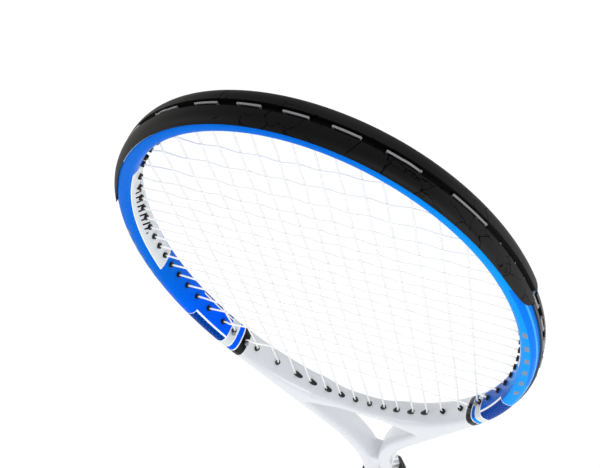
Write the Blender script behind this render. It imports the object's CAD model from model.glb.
import math

import bpy
import numpy as np
from mathutils import Matrix, Vector


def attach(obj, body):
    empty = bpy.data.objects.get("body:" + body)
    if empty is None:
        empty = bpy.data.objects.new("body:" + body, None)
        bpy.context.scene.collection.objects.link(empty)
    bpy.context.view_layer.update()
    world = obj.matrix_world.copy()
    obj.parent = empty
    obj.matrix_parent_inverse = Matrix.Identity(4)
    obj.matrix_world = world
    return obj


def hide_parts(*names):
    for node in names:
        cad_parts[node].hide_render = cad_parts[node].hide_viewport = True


# A full-size tennis racket standing on its butt. Sizes below are in millimetres and meshes are
# scaled to metres as they are made. +Z runs to the tip, +X across the head, Y along the string
# bed's normal.

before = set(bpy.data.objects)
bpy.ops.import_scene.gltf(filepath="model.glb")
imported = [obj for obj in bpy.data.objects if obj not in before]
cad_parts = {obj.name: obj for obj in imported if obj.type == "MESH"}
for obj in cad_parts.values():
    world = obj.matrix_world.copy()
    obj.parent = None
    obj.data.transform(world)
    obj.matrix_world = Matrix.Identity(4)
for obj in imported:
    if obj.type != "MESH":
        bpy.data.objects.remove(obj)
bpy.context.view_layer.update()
MM = 0.001

# ---------------------------------------------------------------- sizes shared with the CAD part
HEAD_HALF_WIDTH = 120.6
HEAD_HALF_LENGTH = 170.0
HEAD_EGG = 0.05
HEAD_SQUARENESS = 0.010
HEAD_CENTRE_Z = 502.0
TUBE_WIDTH = 11.5
TUBE_BEAM = 21.0
TUBE_ROUNDNESS = 2.8
CHANNEL_DEPTH = 2.2
CHANNEL_WIDTH = 5.2
CHANNEL_RUN = 46.0
ARM_ANGLE = math.radians(33.0)
ARM_BEND_RADIUS = 150.0
LEG_OFFSET = 7.6
CROTCH_Z = 230.0
BRIDGE_THICKNESS = 10.5
BRIDGE_BEAM = 14.8
BARREL_PROUD = 1.6
HOLE_OUTWARDNESS = 2.0
STRING_RADIUS = 0.62
MAIN_HALF_SPACINGS = (5.6, 16.9, 27.9, 40.0, 51.4, 65.5, 79.4, 93.4)
CROSS_HEIGHTS = (
    642.0, 624.6, 607.0, 592.0, 579.4, 567.2, 555.0, 543.2, 531.4, 519.6,
    507.8, 496.0, 484.0, 471.0, 457.4, 443.2, 427.8, 410.8, 387.7,
)
THROAT_MAINS = 5
THROAT_FAN = 0.69
PALLET_HALF = (15.2, 13.1)
CAP_WAIST_HALF = (17.7, 15.7)
FLAT_RATIO_X = 0.42
FLAT_RATIO_Y = 0.62
TAPE_THICKNESS = 1.9
TAPE_START_Z = 12.0
TAPE_TOP_Z = 176.0
FLARE_TOP_Z = 42.0
FINISH_BOTTOM_Z = 158.0
COLLAR_BOTTOM_Z = 167.0
COLLAR_SHOULDER_Z = 177.0
COLLAR_TOP_Z = 184.0

# ---------------------------------------------------------------- sizes of the meshes alone
# Hoop and bands
SECTION_POINTS = 96
CHANNEL_SPAN = 3  # outline points that the channel takes on each side of the tube's ridge
LIP_ROUND = 0.3
STATION_STEP = 1.6
FINE_ANGLES = 2000
BAND_HALF = 3.2
BAND_GROW = 0.16
BAND_STATIONS = 9

# Throat moulding
FILLED_CHANNEL = 0.02  # the channel's depth where the moulding fills it
BOXY_RUN = 30.0
RUN_STATIONS = 80
BEND_STATIONS = 48
LEG_STATIONS = 30
SHAFT_FOOT_Z = 150.0
BRIDGE_ROUNDNESS = 4.5
BRIDGE_SINK = 0.5
BRIDGE_SLIM_HALF = 12.0
BRIDGE_SPREAD = 26.0
BRIDGE_MERGE = 5.0
BRIDGE_END_ANGLE = 0.03
BRIDGE_LEAST_FALL = 0.2
BRIDGE_STATIONS = 120
BRIDGE_POINTS = 64
WEB_HALF_Y = 8.9
WEB_OVERLAP = 1.0
SKIN_VOXEL = 0.7
SKIN_SMOOTHING = 12

# Strings
MAIN_LIFT = 0.34
CROSS_LIFT = 0.56
STRING_HIDDEN = 0.9
STRING_LEAD = 1.2
STRING_CLEAR = 3.0
STRING_SIDES = 10
WEAVE_MARGIN = 0.012
WEAVE_STATIONS = 9

# Grip and collar
SLEEVE_COLUMNS = 192
CORNER_SOFTENING = 5
TAPE_ROW = 0.45
TAPE_PITCH = 21.0
TAPE_LAP = 0.42
TAPE_SWELL = 0.10
TAPE_SEAM = 0.022
TAPE_SEAM_DEPTH = 0.8
TAPE_REST = 0.12
LAP_START_Z = TAPE_START_Z + 2
LAP_END_Z = FINISH_BOTTOM_Z - 1
LAP_FADE_IN = 6.0
LAP_FADE_OUT = 8.0
TAPE_EDGE = 0.8
COLLAR_HALF = (18.9, 16.8)
COLLAR_LIP_HALF = (16.2, 13.8)
COLLAR_ROW = 0.25
COLLAR_RIB_PITCH = 3.3
COLLAR_RIB = 0.22
COLLAR_EDGE = 0.35
COLLAR_EDGE_DROP = 0.5


# ---------------------------------------------------------------- head geometry
def smoothstep(x):
    x = np.clip(x, 0.0, 1.0)
    return x * x * (3 - 2 * x)


def head_wall(t):
    """Inner wall points and outward normals, as rows of (x, z), at the angles t."""
    t = np.atleast_1d(np.asarray(t, float))
    c, s = np.cos(t), np.sin(t)
    swell = 1 + HEAD_EGG * c + HEAD_SQUARENESS * c * c
    point = np.stack([HEAD_HALF_WIDTH * s * swell, HEAD_CENTRE_Z + HEAD_HALF_LENGTH * c], 1)
    dx = HEAD_HALF_WIDTH * (c * swell - s * s * (HEAD_EGG + 2 * HEAD_SQUARENESS * c))
    dz = -HEAD_HALF_LENGTH * s
    normal = np.stack([-dz, dx], 1) / np.hypot(dx, dz)[:, None]
    return point, normal


def tube_line(t):
    """The tube's centre line and its outward normals at the angles t."""
    wall, normal = head_wall(t)
    return wall + normal * TUBE_WIDTH / 2, normal


def bisect(function, low, high):
    for _ in range(50):
        middle = (low + high) / 2
        if (function(low) > 0) == (function(middle) > 0):
            low = middle
        else:
            high = middle
    return (low + high) / 2


def slope_excess(t):
    normal = head_wall(t)[1][0]
    return math.atan2(-normal[1], normal[0]) - ARM_ANGLE


def angle_at_width(x, upper):
    low, high = (0.0, math.pi / 2) if upper else (math.pi / 2, math.pi)
    return bisect(lambda t: head_wall(t)[0][0, 0] - x, low, high)


def angle_at_height(z):
    return math.acos((z - HEAD_CENTRE_Z) / HEAD_HALF_LENGTH)


JOINT_ANGLE = bisect(slope_excess, math.pi / 2, math.radians(170))
ARM_DIRECTION = np.array([-math.sin(ARM_ANGLE), -math.cos(ARM_ANGLE)])
ARM_NORMAL = np.array([math.cos(ARM_ANGLE), -math.sin(ARM_ANGLE)])
JOINT = tube_line(JOINT_ANGLE)[0][0]
BEND_END_X = LEG_OFFSET + ARM_BEND_RADIUS * (1 - math.cos(ARM_ANGLE))
BEND_END_Z = JOINT[1] - (JOINT[0] - BEND_END_X) / math.tan(ARM_ANGLE)
BEND_START_Z = BEND_END_Z - ARM_BEND_RADIUS * math.sin(ARM_ANGLE)
THROAT_TOP_Z = HEAD_CENTRE_Z - HEAD_HALF_LENGTH - BRIDGE_THICKNESS


# ---------------------------------------------------------------- mesh building
def add_mesh(name, vertices, faces, material, smooth=True):
    mesh = bpy.data.meshes.new(name)
    mesh.from_pydata((np.asarray(vertices) * MM).tolist(), [], faces)
    mesh.polygons.foreach_set("use_smooth", [smooth] * len(mesh.polygons))
    mesh.materials.append(material)
    mesh.update()
    piece = bpy.data.objects.new(name, mesh)
    bpy.context.scene.collection.objects.link(piece)
    return piece


def gather(name, parts, material):
    """One piece from several (vertices, faces) parts."""
    vertices, faces, base = [], [], 0
    for points, polygons in parts:
        vertices.append(points)
        faces += [tuple(i + base for i in face) for face in polygons]
        base += len(points)
    return add_mesh(name, np.concatenate(vertices), faces, material)


def set_paint(piece, values):
    """Stores a vector per vertex that the material places its pattern by, in millimetres."""
    attribute = piece.data.attributes.new("paint", "FLOAT_VECTOR", "POINT")
    attribute.data.foreach_set("vector", np.asarray(values, np.float32).ravel())


def tube_mesh(rings):
    """Vertices and faces of a tube through equal rings of points, closed at both ends."""
    rows, columns = rings.shape[:2]
    faces = []
    for row in range(rows - 1):
        below, above = row * columns, (row + 1) * columns
        for c in range(columns):
            d = (c + 1) % columns
            faces.append((below + c, below + d, above + d, above + c))
    last = (rows - 1) * columns
    faces.append(tuple(range(columns - 1, -1, -1)))
    faces.append(tuple(range(last, last + columns)))
    return rings.reshape(-1, 3), faces


def mirrored(points, faces):
    """The same mesh on the other side of the YZ plane, with its faces still turned outward."""
    return points * (-1, 1, 1), [face[::-1] for face in faces]


def sweep_points(centres, normals, sections):
    """Rings of (x, y, z) round planar stations. A section's u is along the normal, its v along Y."""
    sections = np.broadcast_to(sections, (len(centres),) + np.shape(sections)[-2:])
    plane = centres[:, None, :] + sections[..., :1] * normals[:, None, :]
    return np.concatenate([plane[..., :1], sections[..., 1:], plane[..., 1:]], -1)


def arc_lengths(points):
    steps = np.linalg.norm(np.diff(points, axis=0), axis=1)
    return np.concatenate([[0], np.cumsum(steps)])


def oval(half_u, half_v, roundness, count):
    """Points of a superellipse: roundness 2 is an ellipse, more is boxier."""
    angle = np.linspace(0, 2 * math.pi, count, endpoint=False)
    u = np.sign(np.cos(angle)) * np.abs(np.cos(angle)) ** (2 / roundness) * half_u
    v = np.sign(np.sin(angle)) * np.abs(np.sin(angle)) ** (2 / roundness) * half_v
    return np.stack([u, v], 1)


def tube_section(notch=CHANNEL_DEPTH, grow=0.0, roundness=TUBE_ROUNDNESS):
    """The tube's outline with the string channel let into its outer side, softened at the lips."""
    half = TUBE_WIDTH / 2 + grow
    outline = oval(half, TUBE_BEAM / 2 + grow, roundness, SECTION_POINTS)
    channel_half = CHANNEL_WIDTH / 2
    body = outline[CHANNEL_SPAN:1 - CHANNEL_SPAN]
    lip = [(half - LIP_ROUND / 5, channel_half + LIP_ROUND * 0.4), (half - LIP_ROUND, channel_half),
           (half - notch, channel_half), (half - notch, channel_half / 2), (half - notch, 0)]
    upper = np.array(lip[::-1])
    lower = upper[::-1] * (1, -1)
    return np.concatenate([upper, body, lower[:-1]])


def half_head_angles():
    """Angles from the tip to the arm joint, about STATION_STEP apart along the tube."""
    fine = np.linspace(0, JOINT_ANGLE, FINE_ANGLES)
    length = arc_lengths(tube_line(fine)[0])
    count = int(length[-1] / STATION_STEP)
    return np.interp(np.linspace(0, length[-1], count + 1), length, fine)


# ---------------------------------------------------------------- material graphs
class Signal:
    """A node socket that takes part in arithmetic, one math node per operation."""

    def __init__(self, tree, socket):
        self.tree = tree
        self.socket = socket

    def apply(self, operation, *others):
        node = self.tree.nodes.new("ShaderNodeMath")
        node.operation = operation
        for slot, value in enumerate((self,) + others):
            if isinstance(value, Signal):
                self.tree.links.new(value.socket, node.inputs[slot])
            else:
                node.inputs[slot].default_value = value
        return Signal(self.tree, node.outputs[0])

    def __add__(self, other):
        return self.apply("ADD", other)

    def __sub__(self, other):
        return self.apply("SUBTRACT", other)

    def __mul__(self, other):
        return self.apply("MULTIPLY", other)

    def __truediv__(self, other):
        return self.apply("DIVIDE", other)

    def above(self, level):
        return self.apply("GREATER_THAN", level)

    def below(self, level):
        return self.apply("LESS_THAN", level)

    def between(self, low, high):
        return self.above(low) * self.below(high)

    def either(self, other):
        return self.apply("MAXIMUM", other)

    def inverse(self):
        return self.apply("MULTIPLY", -1.0) + 1.0

    def ramp(self, low, high):
        """0 below low, 1 above high, smooth between."""
        node = self.tree.nodes.new("ShaderNodeMapRange")
        node.interpolation_type = "SMOOTHSTEP"
        self.tree.links.new(self.socket, node.inputs["Value"])
        node.inputs["From Min"].default_value = low
        node.inputs["From Max"].default_value = high
        return Signal(self.tree, node.outputs["Result"])


class Finish:
    """A Principled material with helpers for procedural patterns."""

    def __init__(self, name, **settings):
        self.material = bpy.data.materials.new(name)
        self.material.use_nodes = True
        self.tree = self.material.node_tree
        self.shader = self.tree.nodes["Principled BSDF"]
        for key, value in settings.items():
            self.set(key.replace("_", " "), value)

    def set(self, key, value):
        socket = next(s for s in self.shader.inputs if s.name.lower() == key.lower())
        if isinstance(value, Signal):
            self.tree.links.new(value.socket, socket)
        elif isinstance(value, tuple):
            socket.default_value = value + (1.0,)
        else:
            socket.default_value = value
        return self

    def paint(self):
        """The piece's stored paint vector, in millimetres, and its three components."""
        node = self.tree.nodes.new("ShaderNodeAttribute")
        node.attribute_name = "paint"
        return self.split(node.outputs["Vector"])

    def place(self, scale=1000.0):
        """The point's place in the piece, in metres times the scale, and its three components."""
        coordinates = self.tree.nodes.new("ShaderNodeTexCoord")
        scaled = self.tree.nodes.new("ShaderNodeVectorMath")
        scaled.operation = "SCALE"
        scaled.inputs["Scale"].default_value = scale
        self.tree.links.new(coordinates.outputs["Object"], scaled.inputs[0])
        return self.split(scaled.outputs[0])

    def split(self, vector):
        node = self.tree.nodes.new("ShaderNodeSeparateXYZ")
        self.tree.links.new(vector, node.inputs[0])
        return (vector,) + tuple(Signal(self.tree, s) for s in node.outputs)

    def join(self, x, y, z):
        node = self.tree.nodes.new("ShaderNodeCombineXYZ")
        for socket, part in zip(node.inputs, (x, y, z)):
            self.tree.links.new(part.socket, socket)
        return node.outputs[0]

    def noise(self, vector, scale, detail=3.0, roughness=0.55):
        node = self.tree.nodes.new("ShaderNodeTexNoise")
        self.tree.links.new(vector, node.inputs["Vector"])
        node.inputs["Scale"].default_value = scale
        node.inputs["Detail"].default_value = detail
        node.inputs["Roughness"].default_value = roughness
        return Signal(self.tree, node.outputs[0])

    def cell_edges(self, vector, scale):
        """Distance to the nearest edge in a pattern of irregular cells."""
        node = self.tree.nodes.new("ShaderNodeTexVoronoi")
        node.feature = "DISTANCE_TO_EDGE"
        self.tree.links.new(vector, node.inputs["Vector"])
        node.inputs["Scale"].default_value = scale
        return Signal(self.tree, node.outputs["Distance"])

    def mix(self, mask, a, b):
        """Colour a where the mask is 0 and colour b where it is 1."""
        node = self.tree.nodes.new("ShaderNodeMix")
        node.data_type = "RGBA"
        self.tree.links.new(mask.socket, node.inputs["Factor"])
        sockets = [s for s in node.inputs if s.type == "RGBA"]
        for socket, value in zip(sockets, (a, b)):
            if isinstance(value, Signal):
                self.tree.links.new(value.socket, socket)
            else:
                socket.default_value = value + (1.0,)
        return Signal(self.tree, next(s for s in node.outputs if s.type == "RGBA"))

    def bump(self, height, depth, strength):
        """Relief from a height signal; depth is in millimetres."""
        node = self.tree.nodes.new("ShaderNodeBump")
        node.inputs["Distance"].default_value = depth * MM
        node.inputs["Strength"].default_value = strength
        self.tree.links.new(height.socket, node.inputs["Height"])
        return self.set("Normal", Signal(self.tree, node.outputs[0]))


# ---------------------------------------------------------------- colours, linear
BLUE = (0.0, 0.112, 0.56)
ROYAL = (0.0, 0.085, 0.84)
SKY = (0.0, 0.29, 0.84)
DEEP_BLUE = (0.0, 0.018, 0.17)
SILVER = (0.20, 0.225, 0.26)
PANEL_GREY = (0.60, 0.63, 0.64)
BRIGHT_WHITE = (0.82, 0.86, 0.90)
PEARL = (0.405, 0.42, 0.445)
PEARL_FLAKE = (0.46, 0.475, 0.50)
PEARL_GLOW = 0.21
FLANK_BLUE = (0.0, 0.115, 0.66)
WALL_BLUE = (0.010, 0.060, 0.36)
COMB_BLUE = (0.0, 0.080, 0.42)
RIM_GLEAM = (0.05, 0.45, 0.95)
GLEAM = (0.45, 0.70, 0.95)
BLACK = (0.003, 0.003, 0.003)
GREY_STREAK = (0.014, 0.014, 0.015)

# Paint layout on the hoop: lengths along it are from the arm joint, U is outward from its centre
# line, and X, Y and Z are the racket's own
WHITE_LINE = (3.2, 4.3)
BLUE_STRIPE_TOP = 9.2
PALE_STRIPE_TOP = 17.5
PALE_STRIPE_EDGE = 0.8
HONEYCOMB_TOP = 55.5
HONEYCOMB_LINE_U = -4.6
LINE_WIDTH = 0.5
PANEL_Z = (490.0, 606.0)
PANEL_FRONT_Y = -8.2
PANEL_TOP_U = -2.0
BAR_PITCH = 5.4
BAR_SHARE = 0.36
BAR_SLANT = 1.1
BAR_Y = (-4.4, 2.6)
BAR_Z = (528.0, 582.0)
BLUE_FADE_Z = (400.0, 500.0)
SKY_FADE_X = (20.0, 120.0)
FLANK_Z = (470.0, 585.0)
FLANK_U = (2.2, 2.7)
FLANK_SLOPE = 0.012
WALL_FADE_Z = (480.0, 440.0)
SQUARE_Z = 457.0
SQUARE_PITCH = 16.2
SQUARE_COUNT = 6
SQUARE_HALF = 2.7
RIGHT_SQUARES_U = (-1.5, 1.1)
LEFT_SQUARES_U = (1.2, 4.6)
LIP_GLEAM_U = (2.75, 3.2)
LIP_GLEAM_Z = 590.0
LIP_GLEAM_LEFT_X = (-100.0, -42.0)
LIP_GLEAM_RIGHT_X = (52.0, 106.0)
RIM_GLEAM_U = (4.5, 5.0)
RIM_GLEAM_Z = (430.0, 570.0)
INNER_WALL_U = -3.8
CHANNEL_FLOOR_U = (3.2, 5.4)
CHANNEL_PAINT_HALF = 2.7
HONEYCOMB_CELL = 2.4
HONEYCOMB_SKEW = 0.6
HONEYCOMB_EDGE = (0.44, 0.36)

# Guard: engraved lines and the shade of its left, middle and right
GUARD_WARP = 16.0
GUARD_CELLS = 0.055
GUARD_LINE = 0.013
GUARD_LEFT = (0.020, 0.018, 0.014)
GUARD_MIDDLE = (0.0018, 0.0018, 0.0021)
GUARD_RIGHT = (0.012, 0.012, 0.012)
GUARD_LEFT_X = (-120.0, -20.0)
GUARD_RIGHT_X = (60.0, 115.0)

# String wraps, grip perforations, tape line and badge
STRING_WRAP_PITCH = 1.4
PERFORATION_PITCH = 3.5
PERFORATION_SLANT = 0.19
PERFORATION_EDGE = (0.17, 0.12)
TAPE_LINE_Z = (FINISH_BOTTOM_Z + 1.6, FINISH_BOTTOM_Z + 2.6)
BADGE_CENTRE_Y = 1.0
BADGE_RING = (4.2, 4.8)
BADGE_DISC = 2.0

# Slanted stripes on the shaft's flanks
SHAFT_STRIPE_PITCH = 4.6
SHAFT_STRIPE_SHARE = 0.62
SHAFT_STRIPE_SLOPE = 0.4
SHAFT_STRIPE_TOP_Z = 212.0
SHAFT_STRIPE_HALF_Y = 8.0
SHAFT_FLANK_X = LEG_OFFSET + 3.8


def honeycomb(along, across, cell):
    """1 inside the cells of a honeycomb, 0 on the lines between them."""
    masks = []
    for shift in (0.0, 0.5):
        row = (along / (cell * math.sqrt(3)) + shift).apply("FRACT") - 0.5
        column = (across / cell + shift).apply("FRACT") - 0.5
        x = row * math.sqrt(3)
        reach = column.apply("ABSOLUTE").either(
            x.apply("ABSOLUTE") * (math.sqrt(3) / 2) + column.apply("ABSOLUTE") * 0.5)
        masks.append(reach.ramp(*HONEYCOMB_EDGE))
    return masks[0].either(masks[1])


def hoop_paint():
    """Gloss blue with its stripes, honeycomb, squares and pale panel.

    The paint vector holds the length along the tube from the arm joint, the place across the
    tube from its centre line outward, and the place along Y.
    """
    finish = Finish("hoop_gloss_blue", specular_ior_level=0.02, specular_tint=(0.05, 0.35, 1.0))
    _, along, out, deep = finish.paint()
    place, x, _, height = finish.place()
    colour = hoop_blue(finish, place, x, height)
    colour = facets(finish, colour, x, height, out, deep)
    colour = honeycomb_patch(finish, colour, along, out, deep)
    colour = joint_stripes(finish, colour, along)
    colour = square_row(finish, colour, x, height, out, deep)
    colour = inner_panel(finish, colour, height, deep, out)
    channel = out.between(*CHANNEL_FLOOR_U) * deep.apply("ABSOLUTE").below(CHANNEL_PAINT_HALF)
    colour = finish.mix(channel, colour, BLACK)
    finish.set("Base Color", colour)
    finish.set("Roughness", finish.noise(place, 0.08, 2.0) * 0.10 + 0.22)
    return finish.material


def hoop_blue(finish, place, x, height):
    """Royal blue low on the head, brighter on the side that faces the key light."""
    colour = finish.mix(height.ramp(*BLUE_FADE_Z), ROYAL, BLUE)
    colour = finish.mix(x.ramp(*SKY_FADE_X) * 0.85, colour, SKY)
    flake = finish.noise(place, 0.9, 2.0)
    return finish.mix(flake.ramp(0.35, 0.75) * 0.10, colour, SKY)


def facets(finish, colour, x, height, out, deep):
    """Deeper flank and wall low on the right, with thin gleams along the rim and the guard's lip."""
    front, right = deep.below(0.0), x.above(0.0)
    shoulder = (height - FLANK_Z[0]) * FLANK_SLOPE + out
    flank = shoulder.ramp(*FLANK_U) * right * height.between(*FLANK_Z) * front
    colour = finish.mix(flank * 0.7, colour, FLANK_BLUE)
    wall = out.below(INNER_WALL_U) * right * height.ramp(*WALL_FADE_Z)
    colour = finish.mix(wall * 0.8, colour, WALL_BLUE)
    rim = out.between(*RIM_GLEAM_U) * front * right * height.between(*RIM_GLEAM_Z)
    colour = finish.mix(rim * 0.8, colour, RIM_GLEAM)
    lip = out.between(*LIP_GLEAM_U) * front * height.above(LIP_GLEAM_Z)
    gleam = lip * x.between(*LIP_GLEAM_LEFT_X).either(x.between(*LIP_GLEAM_RIGHT_X))
    return finish.mix(gleam, colour, GLEAM)


def honeycomb_patch(finish, colour, along, out, deep):
    """Fine hexagons on the outer side above the joint, inside a thin white line."""
    outer = out.above(HONEYCOMB_LINE_U) * along.between(PALE_STRIPE_TOP, HONEYCOMB_TOP)
    comb = honeycomb(along, out + deep * HONEYCOMB_SKEW, HONEYCOMB_CELL)
    colour = finish.mix(outer, colour, finish.mix(comb, COMB_BLUE, DEEP_BLUE))
    side = out.between(HONEYCOMB_LINE_U - LINE_WIDTH, HONEYCOMB_LINE_U)
    side = side * along.between(PALE_STRIPE_TOP, HONEYCOMB_TOP + LINE_WIDTH)
    top = along.between(HONEYCOMB_TOP, HONEYCOMB_TOP + LINE_WIDTH) * out.above(HONEYCOMB_LINE_U)
    return finish.mix(side.either(top), colour, BRIGHT_WHITE)


def joint_stripes(finish, colour, along):
    """From the joint up: white line, blue gap, then a pale stripe with white edges."""
    pale = along.between(BLUE_STRIPE_TOP, PALE_STRIPE_TOP)
    heart = along.between(BLUE_STRIPE_TOP + PALE_STRIPE_EDGE, PALE_STRIPE_TOP - PALE_STRIPE_EDGE)
    colour = finish.mix(pale, colour, finish.mix(heart, BRIGHT_WHITE, PANEL_GREY))
    return finish.mix(along.between(*WHITE_LINE), colour, BRIGHT_WHITE)


def square_row(finish, colour, x, height, out, deep):
    """A row of grey squares on the front face of each side, further out on the left."""
    step = (height - (SQUARE_Z - SQUARE_PITCH / 2)) / SQUARE_PITCH
    cell = (step.apply("FRACT") - 0.5).apply("ABSOLUTE") * SQUARE_PITCH
    right = out.between(*RIGHT_SQUARES_U) * x.above(0.0)
    left = out.between(*LEFT_SQUARES_U) * x.below(0.0)
    row = right.either(left) * deep.below(0.0) * step.between(0.0, float(SQUARE_COUNT))
    return finish.mix(row * cell.below(SQUARE_HALF), colour, SILVER)


def inner_panel(finish, colour, height, deep, out):
    """Pale panel on the inner wall with a white edge and slanted black bars."""
    panel = height.between(*PANEL_Z) * deep.between(PANEL_FRONT_Y, -PANEL_FRONT_Y)
    panel = panel * out.below(PANEL_TOP_U)
    body = height.between(PANEL_Z[0] + LINE_WIDTH, PANEL_Z[1] - LINE_WIDTH)
    body = body * deep.between(PANEL_FRONT_Y + LINE_WIDTH, -PANEL_FRONT_Y - LINE_WIDTH)
    slant = ((height + deep * BAR_SLANT) / BAR_PITCH).apply("FRACT")
    bars = slant.below(BAR_SHARE) * deep.between(*BAR_Y) * height.between(*BAR_Z)
    inside = finish.mix(bars, PANEL_GREY, BLACK)
    return finish.mix(panel, colour, finish.mix(body, BRIGHT_WHITE, inside))


def band_paint():
    finish = Finish("band_gloss_black", coat_weight=0.06, coat_roughness=0.05,
                    specular_ior_level=0.1)
    place = finish.place()[0]
    streak = finish.noise(place, 0.12, 2.0).ramp(0.52, 0.60)
    finish.set("Base Color", finish.mix(streak, BLACK, GREY_STREAK))
    finish.set("Roughness", finish.noise(place, 0.6) * 0.12 + 0.2)
    return finish.material


def throat_paint():
    """Pearl white with slanted dark stripes on the shaft's flanks."""
    finish = Finish("throat_pearl_white", coat_weight=0.3, coat_roughness=0.06,
                    specular_ior_level=0.3)
    place, x, y, z = finish.place()
    flake = finish.noise(place, 1.6, 3.0)
    colour = finish.mix(flake.ramp(0.35, 0.75) * 0.5, PEARL, PEARL_FLAKE)
    slant = ((z * SHAFT_STRIPE_SLOPE + y) / SHAFT_STRIPE_PITCH).apply("FRACT")
    flank = x.apply("ABSOLUTE").above(SHAFT_FLANK_X) * z.between(COLLAR_TOP_Z, SHAFT_STRIPE_TOP_Z)
    flank = flank * y.between(-SHAFT_STRIPE_HALF_Y, SHAFT_STRIPE_HALF_Y)
    colour = finish.mix(flank * slant.below(SHAFT_STRIPE_SHARE), colour, BLACK)
    finish.set("Base Color", colour)
    finish.set("Emission Color", (0.95, 0.97, 1.0))
    finish.set("Emission Strength", PEARL_GLOW)
    finish.set("Roughness", finish.noise(place, 0.1, 2.0) * 0.12 + 0.24)
    return finish.material


def guard_plastic():
    """Satin charcoal, moulded with a fine grain and sparse engraved lines."""
    finish = Finish("guard_charcoal")
    place, x, y, z = finish.place()
    warp = finish.noise(place, 0.12, 4.0) * GUARD_WARP
    stretched = finish.join(x + warp, y * 1.6 + warp, z + warp * 0.5)
    edge = finish.cell_edges(stretched, GUARD_CELLS)
    line = edge.below(GUARD_LINE) * finish.noise(place, 0.035, 1.0).above(0.48)
    grain = finish.noise(place, 2.2, 4.0)
    shade = finish.mix(x.ramp(*GUARD_LEFT_X), GUARD_LEFT, GUARD_MIDDLE)
    shade = finish.mix(x.ramp(*GUARD_RIGHT_X), shade, GUARD_RIGHT)
    shade = finish.mix(grain.ramp(0.3, 0.8) * 0.08, shade, (0.02, 0.02, 0.02))
    finish.set("Base Color", finish.mix(line, shade, (0.0, 0.0, 0.0)))
    finish.set("Specular IOR Level", (line * 0.7).inverse() * 0.11)
    finish.set("Roughness", grain * 0.18 + 0.42)
    return finish.bump(grain * 0.12 - line, 0.25, 0.7).material


def plain_plastic(name, colour, fleck, low, high, grain=2.0):
    """Moulded plastic with a little mottling and a fine grain; low and high bound its roughness."""
    finish = Finish(name, specular_ior_level=0.22)
    place = finish.place()[0]
    mottle = finish.noise(place, grain, 3.0)
    finish.set("Base Color", finish.mix(mottle.ramp(0.3, 0.8), colour, fleck))
    finish.set("Roughness", mottle * (high - low) + low)
    return finish.bump(finish.noise(place, grain * 2), 0.04, 0.4).material


def string_nylon(name, colour, fleck, glow):
    """Pale nylon monofilament with faint wrap lines."""
    finish = Finish(name, coat_weight=0.1, coat_roughness=0.1, specular_ior_level=0.3)
    place, x, y, z = finish.place()
    wraps = ((x + z + y * 2.0) / STRING_WRAP_PITCH).apply("FRACT")
    body = finish.mix(wraps.ramp(0.2, 0.8) * 0.3, colour, fleck)
    finish.set("Base Color", body)
    finish.set("Emission Color", (1.0, 1.0, 1.0))
    finish.set("Emission Strength", glow)
    finish.set("Roughness", finish.noise(place, 0.5) * 0.1 + 0.24)
    return finish.material


# ---------------------------------------------------------------- hoop, bands and throat
def hoop_path():
    """Stations right round the head from the left arm joint to the right one, past the tip."""
    half = half_head_angles()
    return tube_line(np.concatenate([-half[::-1], half[1:]]))


def hoop_shell(material):
    centres, normals = hoop_path()
    section = tube_section()
    rings = sweep_points(centres, normals, section)
    length = arc_lengths(centres)
    from_joint = np.minimum(length, length[-1] - length)
    paint = np.empty_like(rings)
    paint[..., 0] = from_joint[:, None]
    paint[..., 1] = section[None, :, 0]
    paint[..., 2] = section[None, :, 1]
    piece = add_mesh("hoop_shell", *tube_mesh(rings), material)
    set_paint(piece, paint.reshape(-1, 3))
    return piece


def arm_path():
    """Right arm's centre line from the joint down to the shaft's foot, with its outward normals."""
    straight_length = (JOINT[0] - BEND_END_X) / math.sin(ARM_ANGLE)
    runs = np.linspace(0, straight_length, RUN_STATIONS)
    line = JOINT + runs[:, None] * ARM_DIRECTION
    line_normals = np.broadcast_to(ARM_NORMAL, line.shape)
    turns = np.linspace(ARM_ANGLE, 0, BEND_STATIONS)[1:]
    centre = np.array([LEG_OFFSET + ARM_BEND_RADIUS, BEND_START_Z])
    arc = centre + ARM_BEND_RADIUS * np.stack([-np.cos(turns), np.sin(turns)], 1)
    arc_normals = np.stack([np.cos(turns), -np.sin(turns)], 1)
    heights = np.linspace(BEND_START_Z, SHAFT_FOOT_Z, LEG_STATIONS)[1:]
    leg = np.stack([np.full_like(heights, LEG_OFFSET), heights], 1)
    leg_normals = np.broadcast_to([1.0, 0.0], leg.shape)
    return (np.concatenate([line, arc, leg]),
            np.concatenate([line_normals, arc_normals, leg_normals]))


def arm_parts():
    """Both arms, with the string channel in their upper runs; the tube turns boxier on its way down."""
    centres, normals = arm_path()
    sections = []
    for run in arc_lengths(centres):
        notch = CHANNEL_DEPTH if run < CHANNEL_RUN else FILLED_CHANNEL
        boxy = (BRIDGE_ROUNDNESS - TUBE_ROUNDNESS) * smoothstep(run / BOXY_RUN)
        sections.append(tube_section(notch, roundness=TUBE_ROUNDNESS + boxy))
    right = tube_mesh(sweep_points(centres, normals, np.stack(sections)))
    return [right, mirrored(*right)]


def arm_centre_distance(point, normal):
    """Distance from a wall point along its normal to the arm's centre line."""
    system = np.array([[normal[0], -ARM_DIRECTION[0]], [normal[1], -ARM_DIRECTION[1]]])
    return np.linalg.solve(system, JOINT - point)[0]


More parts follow.
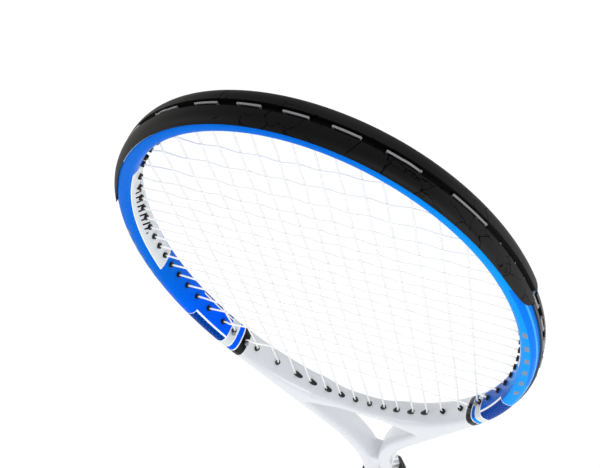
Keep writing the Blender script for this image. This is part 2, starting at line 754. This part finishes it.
def bridge_part():
    """The bridge between the arms: slim in the middle, as deep as the arms where it meets them."""
    first = JOINT_ANGLE + BRIDGE_END_ANGLE
    wall, normals = head_wall(np.linspace(first, 2 * math.pi - first, BRIDGE_STATIONS))
    sections, centres = [], []
    for point, normal in zip(wall, normals):
        right_point = np.array([abs(point[0]), point[1]])
        right_normal = np.array([abs(normal[0]), normal[1]])
        to_arm = arm_centre_distance(right_point, right_normal)
        half_arm = TUBE_WIDTH / 2 / (right_normal @ ARM_NORMAL)
        to_underside = (point[1] - THROAT_TOP_Z) / max(-normal[1], BRIDGE_LEAST_FALL)
        merged = smoothstep((to_underside - to_arm + half_arm) / BRIDGE_MERGE)
        depth = to_underside + (to_arm + half_arm - BRIDGE_SINK - to_underside) * merged
        spread = smoothstep((abs(point[0]) - BRIDGE_SLIM_HALF) / BRIDGE_SPREAD)
        beam = BRIDGE_BEAM + (TUBE_BEAM - BRIDGE_BEAM) * spread
        sections.append(oval((depth - BRIDGE_SINK) / 2, beam / 2, BRIDGE_ROUNDNESS, BRIDGE_POINTS))
        centres.append(point + normal * (depth + BRIDGE_SINK) / 2)
    return tube_mesh(sweep_points(np.array(centres), normals, np.array(sections)))


def web_part():
    """The flat web that joins the two legs into one shaft."""
    x, y, top = LEG_OFFSET + WEB_OVERLAP, WEB_HALF_Y, CROTCH_Z + WEB_OVERLAP
    return tube_mesh(np.array([[(-x, -y, z), (x, -y, z), (x, y, z), (-x, y, z)]
                               for z in (SHAFT_FOOT_Z, top)]))


def throat(material):
    """Arms, bridge and shaft run together as one moulding with soft inside corners."""
    piece = gather("throat_moulding", arm_parts() + [bridge_part(), web_part()], material)
    remesh = piece.modifiers.new("one_skin", "REMESH")
    remesh.mode = "VOXEL"
    remesh.voxel_size = SKIN_VOXEL * MM
    remesh.use_smooth_shade = True
    soften = piece.modifiers.new("soften", "SMOOTH")
    soften.factor = 0.5
    soften.iterations = SKIN_SMOOTHING
    return piece


def joint_band():
    """Vertices and faces of the thin band round the tube at the right arm joint."""
    half_head = half_head_angles()
    length = arc_lengths(tube_line(half_head)[0])
    centres, normals = [], []
    for step in np.linspace(-BAND_HALF, BAND_HALF, BAND_STATIONS):
        if step <= 0:
            centres.append(JOINT - step * ARM_DIRECTION)
            normals.append(ARM_NORMAL)
        else:
            centre, normal = tube_line(np.interp(length[-1] - step, length, half_head))
            centres.append(centre[0])
            normals.append(normal[0])
    return tube_mesh(sweep_points(np.array(centres), np.array(normals), tube_section(grow=BAND_GROW)))


# ---------------------------------------------------------------- strings
def hole_ends():
    """Inner wall points with outward directions: main tips, main feet, crosses (right half)."""
    def blended(t, along):
        point, normal = head_wall(t)
        direction = normal[0] * HOLE_OUTWARDNESS + along
        return point[0], direction / np.linalg.norm(direction)

    tips, feet = [], []
    for index, x in enumerate(MAIN_HALF_SPACINGS):
        tips.append(blended(angle_at_width(x, True), (0, 1)))
        foot_angle = angle_at_width(x, False)
        if index < THROAT_MAINS:
            point = head_wall(foot_angle)[0][0]
            direction = np.array([x * THROAT_FAN, THROAT_TOP_Z]) - point
            feet.append((point, direction / np.linalg.norm(direction)))
        else:
            feet.append(blended(foot_angle, (0, -1)))
    sides = [blended(angle_at_height(z), (1, 0)) for z in CROSS_HEIGHTS]
    return tips, feet, sides


def inward(end, depth):
    """The point `depth` mm inside the head from a string's end at the wall."""
    point, outward = end
    return point - outward * depth


def string_path(start, end, crossings, signs, lift):
    """A string from barrel to barrel that passes `lift` mm over and under the ones it meets."""
    first = inward(start, BARREL_PROUD + STRING_LEAD)
    span = inward(end, BARREL_PROUD + STRING_LEAD) - first
    axis = 0 if abs(span[0]) > abs(span[1]) else 1
    stops = np.sort((np.asarray(crossings) - first[axis]) / span[axis])
    inside = (stops > WEAVE_MARGIN) & (stops < 1 - WEAVE_MARGIN)
    stops = np.concatenate([[0.0], stops[inside], [1.0]])
    lifts = np.concatenate([[0.0], signs[:len(stops) - 2], [0.0]]) * lift
    fractions = np.unique(np.concatenate(
        [np.linspace(low, high, WEAVE_STATIONS) for low, high in zip(stops[:-1], stops[1:])]))
    index = np.clip(np.searchsorted(stops, fractions, side="right") - 1, 0, len(stops) - 2)
    local = (fractions - stops[index]) / (stops[index + 1] - stops[index])
    y = lifts[index] + (lifts[index + 1] - lifts[index]) * smoothstep(local)
    plane = first + fractions[:, None] * span
    path = np.stack([plane[:, 0], y, plane[:, 1]], 1)
    hidden = BARREL_PROUD - STRING_HIDDEN
    lead_in, lead_out = ([(x, 0, z)] for x, z in (inward(start, hidden), inward(end, hidden)))
    return np.concatenate([lead_in, path, lead_out])


def string_mesh(path):
    """Vertices and faces of a round string along a path near the XZ plane."""
    tangent = np.gradient(path, axis=0)
    tangent /= np.linalg.norm(tangent, axis=1)[:, None]
    side = np.cross(tangent, (0, 1, 0))
    side /= np.linalg.norm(side, axis=1)[:, None]
    up = np.cross(side, tangent)
    angle = np.linspace(0, 2 * math.pi, STRING_SIDES, endpoint=False)
    ring = np.cos(angle)[None, :, None] * side[:, None] + np.sin(angle)[None, :, None] * up[:, None]
    return tube_mesh(path[:, None] + STRING_RADIUS * ring)


def flip_x(end):
    point, direction = end
    return point * (-1, 1), direction * (-1, 1)


def woven_bed(main_material, cross_material):
    tips, feet, sides = hole_ends()
    left_to_right = [-x for x in MAIN_HALF_SPACINGS[::-1]] + list(MAIN_HALF_SPACINGS)
    tips_all = [flip_x(e) for e in tips[::-1]] + tips
    feet_all = [flip_x(e) for e in feet[::-1]] + feet
    levels = sorted(CROSS_HEIGHTS)
    mains = []
    for i, (tip, foot) in enumerate(zip(tips_all, feet_all)):
        low, high = foot[0][1], tip[0][1]
        met = [(z, j) for j, z in enumerate(levels) if low + STRING_CLEAR < z < high - STRING_CLEAR]
        signs = np.array([1.0 if (i + j) % 2 else -1.0 for _, j in met])
        path = string_path(foot, tip, [z for z, _ in met], signs, MAIN_LIFT)
        mains.append(string_mesh(path))
    crosses = []
    for j, z in enumerate(levels):
        end = sides[-1 - j]
        reach = end[0][0]
        met = [(x, i) for i, x in enumerate(left_to_right) if abs(x) < reach - STRING_CLEAR]
        signs = np.array([-1.0 if (i + j) % 2 else 1.0 for _, i in met])
        path = string_path(flip_x(end), end, [x for x, _ in met], signs, CROSS_LIFT)
        crosses.append(string_mesh(path))
    return (gather("woven_mains", mains, main_material),
            gather("woven_crosses", crosses, cross_material))


# ---------------------------------------------------------------- handle
def octagon_radius(half, angles):
    """Distance from the axis to an octagon with softened corners at each angle."""
    half_x, half_y = half
    flat_x, flat_y = half_x * FLAT_RATIO_X, half_y * FLAT_RATIO_Y
    slant = np.array([half_y - flat_x, half_x - flat_y])
    slant = slant / np.linalg.norm(slant)
    reach = slant @ np.array([half_x, flat_x])
    x, y = np.abs(np.cos(angles)), np.abs(np.sin(angles))
    radius = 1 / np.maximum.reduce(
        [x / half_x, y / half_y, (x * slant[0] + y * slant[1]) / reach])
    neighbours = CORNER_SOFTENING + 1
    kernel = np.hanning(neighbours * 2 + 1)
    kernel /= kernel.sum()
    padded = np.concatenate([radius[-neighbours:], radius, radius[:neighbours]])
    return np.convolve(padded, kernel, "valid")


def octagon_sleeve(name, heights, halves, relief, material):
    """A tube of rounded octagons; relief adds height to each row and column."""
    angles = np.linspace(0, 2 * math.pi, SLEEVE_COLUMNS, endpoint=False)
    rings, paint = [], []
    for row, (z, half) in enumerate(zip(heights, halves)):
        radius = octagon_radius(half, angles) + relief[row]
        x, y = radius * np.cos(angles), radius * np.sin(angles)
        rings.append(np.stack([x, y, np.full_like(x, z)], 1))
        girth = arc_lengths(np.stack([x, y], 1))
        paint.append(np.stack([girth, np.full_like(x, z), relief[row]], 1))
    piece = add_mesh(name, *tube_mesh(np.array(rings)), material)
    set_paint(piece, np.concatenate(paint))
    return piece


def between_halves(a, b, amount):
    """Half sizes in X and Y, a share of the way from a to b."""
    return a[0] + (b[0] - a[0]) * amount, a[1] + (b[1] - a[1]) * amount


def rounded_ends(heights, bottom, top, edge, drop):
    """Relief that falls by `drop` at the two ends of a sleeve, within about `edge` of them."""
    return -drop * np.exp(-(heights - bottom) / edge) - drop * np.exp(-(top - heights) / edge)


def wound_grip(material):
    """Cushioned tape wound up the handle, each turn lapping the one below."""
    heights = np.arange(TAPE_START_Z, TAPE_TOP_Z + 0.01, TAPE_ROW)
    outer = (PALLET_HALF[0] + TAPE_THICKNESS, PALLET_HALF[1] + TAPE_THICKNESS)
    waist = (CAP_WAIST_HALF[0] + TAPE_THICKNESS, CAP_WAIST_HALF[1] + TAPE_THICKNESS)
    flare = smoothstep((heights - TAPE_START_Z) / (FLARE_TOP_Z - TAPE_START_Z))
    halves = [between_halves(waist, outer, f) for f in flare]
    turns = np.linspace(0, 1, SLEEVE_COLUMNS, endpoint=False)
    phase = (heights[:, None] / TAPE_PITCH + turns[None]) % 1.0
    swell = np.exp(-((phase - TAPE_SWELL) / TAPE_SWELL) ** 2)
    seam = np.exp(-(phase / TAPE_SEAM) ** 2) + np.exp(-((1 - phase) / TAPE_SEAM) ** 2)
    ridge = TAPE_LAP * (swell - TAPE_SEAM_DEPTH * seam)
    fade = smoothstep((LAP_END_Z - heights) / LAP_FADE_OUT)
    fade = fade * smoothstep((heights - LAP_START_Z) / LAP_FADE_IN)
    ends = rounded_ends(heights, TAPE_START_Z, TAPE_TOP_Z, TAPE_EDGE, TAPE_EDGE)
    relief = (ridge - TAPE_REST) * fade[:, None] + ends[:, None]
    return octagon_sleeve("wound_grip", heights, halves, relief, material)


def ribbed_collar(material):
    """Rubber sleeve with shallow ribs and a taper to its lip."""
    heights = np.append(np.arange(COLLAR_BOTTOM_Z, COLLAR_TOP_Z, COLLAR_ROW), COLLAR_TOP_Z)
    taper = smoothstep((heights - COLLAR_SHOULDER_Z) / (COLLAR_TOP_Z - COLLAR_SHOULDER_Z))
    halves = [between_halves(COLLAR_HALF, COLLAR_LIP_HALF, t) for t in taper]
    ribs = COLLAR_RIB * np.cos((heights - COLLAR_BOTTOM_Z) * 2 * math.pi / COLLAR_RIB_PITCH)
    ribs = ribs * (heights < COLLAR_SHOULDER_Z)
    ends = rounded_ends(heights, COLLAR_BOTTOM_Z, COLLAR_TOP_Z, COLLAR_EDGE, COLLAR_EDGE_DROP)
    relief = np.broadcast_to((ribs - COLLAR_RIB + ends)[:, None], (len(heights), SLEEVE_COLUMNS))
    return octagon_sleeve("ribbed_collar", heights, halves, relief, material)


def grip_leather():
    """Dark cushioned tape with rows of fine perforations and a soft grain."""
    finish = Finish("grip_perforated", sheen_weight=0.25, sheen_roughness=0.5,
                    specular_ior_level=0.35)
    place = finish.place()[0]
    _, girth, height, relief = finish.paint()
    winding = height + girth * PERFORATION_SLANT
    turning = girth - height * PERFORATION_SLANT
    row = (winding / PERFORATION_PITCH).apply("FRACT") - 0.5
    column = (turning / PERFORATION_PITCH).apply("FRACT") - 0.5
    hole = (row * row + column * column).apply("SQRT").ramp(*PERFORATION_EDGE)
    grain = finish.noise(place, 1.6, 5.0, 0.6)
    base = finish.mix(grain.ramp(0.25, 0.8), (0.010, 0.010, 0.011), (0.030, 0.030, 0.032))
    base = finish.mix(relief.ramp(-0.05, -0.35), base, (0.004, 0.004, 0.004))
    finish.set("Base Color", finish.mix(hole, base, (0.002, 0.002, 0.002)))
    finish.set("Roughness", grain * 0.25 + 0.5)
    return finish.bump(grain * 0.25 - hole, 0.35, 0.8).material


def rubber():
    finish = Finish("collar_rubber", specular_ior_level=0.35)
    place = finish.place()[0]
    bloom = finish.noise(place, 0.5, 4.0)
    finish.set("Base Color", finish.mix(bloom.ramp(0.35, 0.8), (0.008, 0.008, 0.009),
                                        (0.030, 0.030, 0.030)))
    finish.set("Roughness", bloom * 0.2 + 0.55)
    return finish.bump(finish.noise(place, 5.0), 0.05, 0.5).material


def tape_film():
    """Silver adhesive tape, wound flat, with a blue line near its lower edge."""
    finish = Finish("finishing_tape_film", coat_weight=0.3, coat_roughness=0.15)
    place, _, _, z = finish.place()
    line = z.between(*TAPE_LINE_Z)
    wrinkle = finish.noise(place, 0.35, 3.0)
    body = finish.mix(wrinkle.ramp(0.3, 0.8), (0.62, 0.63, 0.65), (0.72, 0.73, 0.75))
    finish.set("Base Color", finish.mix(line, body, ROYAL))
    finish.set("Roughness", wrinkle * 0.2 + 0.25)
    return finish.bump(wrinkle, 0.12, 0.4).material


def steel():
    finish = Finish("staple_steel", metallic=1.0)
    _, x, y, z = finish.place()
    drawn = finish.noise(finish.join(x * 6.0, y * 0.4, z * 6.0), 1.0, 3.0)
    finish.set("Base Color", finish.mix(drawn.ramp(0.3, 0.7), (0.50, 0.50, 0.52),
                                        (0.66, 0.66, 0.68)))
    finish.set("Roughness", drawn * 0.2 + 0.2)
    return finish.material


def badge_paint():
    """Gloss blue badge with a pale ring round a plain centre."""
    finish = Finish("badge_gloss", coat_weight=1.0, coat_roughness=0.05)
    place, x, y, _ = finish.place()
    off = y - BADGE_CENTRE_Y
    radius = (x * x + off * off).apply("SQRT")
    ring = radius.between(*BADGE_RING)
    disc = radius.below(BADGE_DISC)
    body = finish.mix(finish.noise(place, 1.5).ramp(0.3, 0.8) * 0.3, BLUE, (0.02, 0.22, 0.92))
    finish.set("Base Color", finish.mix(ring.either(disc), body, BRIGHT_WHITE))
    finish.set("Roughness", finish.noise(place, 0.7) * 0.1 + 0.15)
    return finish.material


# ---------------------------------------------------------------- assembly of pieces
def dress(node, material):
    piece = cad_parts[node]
    piece.data.materials.clear()
    piece.data.materials.append(material)
    return piece


def build_pieces():
    blue, pearl, gloss_black = hoop_paint(), throat_paint(), band_paint()
    main_nylon = string_nylon("main_string_nylon", (0.66, 0.66, 0.66), (0.72, 0.72, 0.72), 0.06)
    cross_nylon = string_nylon("cross_string_nylon", (0.74, 0.74, 0.73), (0.80, 0.80, 0.79), 0.20)
    grommet = plain_plastic("grommet_black", (0.004, 0.004, 0.005), (0.012, 0.012, 0.014),
                            0.28, 0.46)

    shell = hoop_shell(blue)
    moulding = throat(pearl)
    band = joint_band()
    bands = [add_mesh("joint_band_left", *mirrored(*band), gloss_black),
             add_mesh("joint_band_right", *band, gloss_black)]
    mains, crosses = woven_bed(main_nylon, cross_nylon)
    grip = wound_grip(grip_leather())
    collar = ribbed_collar(rubber())

    for piece in (shell, moulding, mains, crosses, grip, *bands):
        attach(piece, "racket")
    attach(collar, "collar")
    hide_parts("carbon_frame")
    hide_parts("carbon_frame", "throat_bridge")
    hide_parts("main_strings")
    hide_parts("cross_strings")
    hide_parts("grip_tape")
    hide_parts("rubber_collar")

    dress("bumper_guard", guard_plastic())
    for node in ("grommet_strip_left", "grommet_strip_right", "throat_grommet_strip"):
        dress(node, grommet)
    loops = string_nylon("string_loops_nylon", (0.20, 0.20, 0.21), (0.34, 0.34, 0.35), 0.0)
    for node in ("main_string_loops", "cross_string_loops", "string_knots"):
        dress(node, loops)
    cap = plain_plastic("cap_black", (0.008, 0.008, 0.009), (0.018, 0.018, 0.020), 0.32, 0.5)
    for node in ("butt_cap", "trap_door"):
        dress(node, cap)
    dress("handle_pallet", plain_plastic("pallet_foam", (0.12, 0.12, 0.12), (0.2, 0.2, 0.2),
                                         0.6, 0.8, 0.8))
    bright_steel = steel()
    for node in ("butt_cap_staples", "trap_door_pin"):
        dress(node, bright_steel)
    dress("finishing_tape", tape_film())
    dress("butt_badge", badge_paint())


# ---------------------------------------------------------------- stage, light and camera
FLOOR_Z = -24.0  # clear of the butt cap's door when it hangs open
CAMERA_PLACE = (0.1814, -0.2509, 1.0360)
CAMERA_RIGHT = (0.9145, 0.3656, -0.1733)
CAMERA_FORWARD = (-0.3358, 0.4468, -0.8292)
CAMERA_LENS = 59.45
CAMERA_SENSOR = 36.0
WORLD_STRENGTH = 0.68
BACKDROP_STRENGTH = 1.0
FLOOR_GLOW = 0.16
FLOOR_SEEN_GLOW = 0.63
FLOOR_WHITE = (0.92, 0.92, 0.92)
FLOOR_FLECK = (0.94, 0.94, 0.94)
FLOOR_SEEN = (0.25, 0.25, 0.25)
FLOOR_HALF = 6000.0


def floor(z):
    """White floor. To the camera it mostly glows, so that its far parts stay as pale as the near."""
    finish = Finish("floor_white", roughness=0.9)
    place = finish.place(1.0)[0]
    seen = Signal(finish.tree, finish.tree.nodes.new("ShaderNodeLightPath").outputs["Is Camera Ray"])
    lit = finish.mix(finish.noise(place, 6.0, 2.0), FLOOR_WHITE, FLOOR_FLECK)
    finish.set("Base Color", finish.mix(seen, lit, FLOOR_SEEN))
    finish.set("Emission Color", (1.0, 1.0, 1.0))
    finish.set("Emission Strength", seen * FLOOR_SEEN_GLOW + FLOOR_GLOW)
    half = FLOOR_HALF
    corners = [(-half, -half, z), (half, -half, z), (half, half, z), (-half, half, z)]
    add_mesh("floor", corners, [(0, 1, 2, 3)], finish.material, smooth=False)


def softbox(name, place, target, size, power):
    light = bpy.data.lights.new(name, "AREA")
    light.shape = "RECTANGLE"
    light.size, light.size_y = size
    light.energy = power
    lamp = bpy.data.objects.new(name, light)
    lamp.location = place
    lamp.rotation_euler = (Vector(target) - Vector(place)).to_track_quat("-Z", "Y").to_euler()
    bpy.context.scene.collection.objects.link(lamp)


def studio():
    world = bpy.data.worlds.new("studio")
    world.use_nodes = True
    background = world.node_tree.nodes["Background"]
    background.inputs["Color"].default_value = (0.985, 0.99, 1.0, 1.0)
    rays = world.node_tree.nodes.new("ShaderNodeLightPath")
    strength = world.node_tree.nodes.new("ShaderNodeMapRange")
    strength.inputs["To Min"].default_value = WORLD_STRENGTH
    strength.inputs["To Max"].default_value = BACKDROP_STRENGTH
    world.node_tree.links.new(rays.outputs["Is Camera Ray"], strength.inputs["Value"])
    world.node_tree.links.new(strength.outputs["Result"], background.inputs["Strength"])
    bpy.context.scene.world = world
    bpy.context.scene.view_settings.view_transform = "Standard"
    head = (0.0, 0.0, 0.5)
    softbox("key", (1.4, -1.9, 1.2), head, (1.4, 1.2), 32.0)
    softbox("fill", (-1.9, -0.9, 1.3), head, (1.0, 1.0), 10.0)
    softbox("rim", (0.4, 1.9, 1.6), head, (1.6, 1.0), 8.0)


def camera():
    data = bpy.data.cameras.new("camera")
    data.sensor_width = CAMERA_SENSOR
    data.lens = CAMERA_LENS
    view = bpy.data.objects.new("camera", data)
    right = Vector(CAMERA_RIGHT).normalized()
    forward = Vector(CAMERA_FORWARD).normalized()
    up = right.cross(forward).normalized()
    right = forward.cross(up)
    axes = Matrix((right, up, -forward)).transposed().to_4x4()
    view.matrix_world = Matrix.Translation(CAMERA_PLACE) @ axes
    bpy.context.scene.collection.objects.link(view)
    bpy.context.scene.camera = view


build_pieces()
floor(FLOOR_Z)
studio()
camera()
